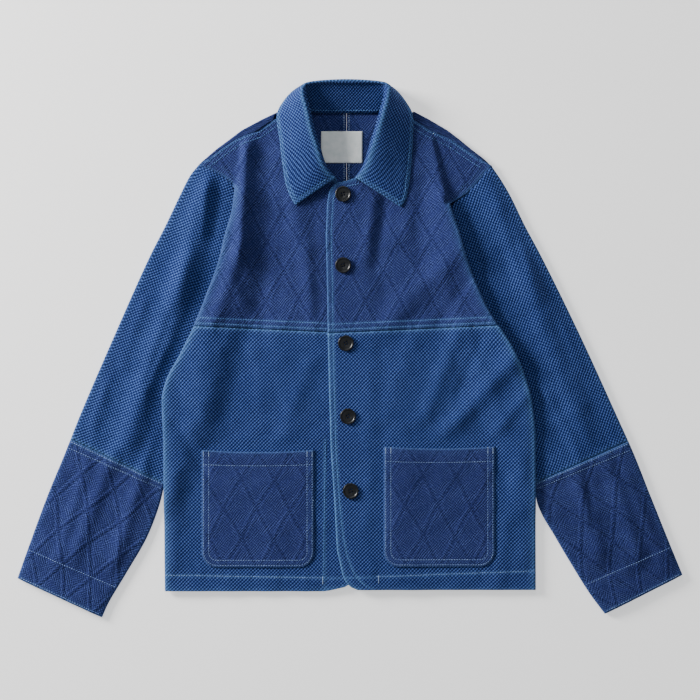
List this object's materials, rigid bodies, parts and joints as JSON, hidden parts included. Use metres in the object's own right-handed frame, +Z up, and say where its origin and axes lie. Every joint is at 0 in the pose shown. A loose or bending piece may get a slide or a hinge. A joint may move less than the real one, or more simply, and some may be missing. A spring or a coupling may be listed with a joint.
{
  "type": "patched work jacket lying flat",
  "caption": "Cotton work jacket laid flat and face up: turned collar, dark upper fronts, light lower fronts, two-tone sleeves, patch pockets and a buttoned front",
  "frame": {"origin": "on the surface the jacket lies on, under the middle of its overall box", "axes": "+X across the chest towards the wearer's left sleeve, +Y up the garment towards the collar, +Z up from the surface out of the fronts"},
  "size_m": [0.9652, 0.777, 0.0375],
  "materials": {
    "light_cloth": "indigo cotton woven with a checkered rice-stitch figure, matt",
    "dark_cloth": "dark indigo cotton twill with a raised diamond line figure, matt",
    "label_cloth": "bare pale woven tape",
    "button": "near-black four-hole button, satin"
  },
  "bodies": {
    "root": {"back_left": "dark_cloth", "back_right": "dark_cloth", "yoke_left": "dark_cloth", "yoke_right": "dark_cloth", "front_left": "light_cloth", "front_right": "light_cloth", "sleeve_upper_left": "light_cloth", "sleeve_upper_right": "light_cloth", "sleeve_lower_left": "dark_cloth", "sleeve_lower_right": "dark_cloth", "collar": "light_cloth", "pocket_left": "dark_cloth", "pocket_right": "dark_cloth", "neck_label": "label_cloth", "button_1": "button", "button_2": "button", "button_3": "button", "button_4": "button", "button_5": "button"}
  },
  "joints": []
}
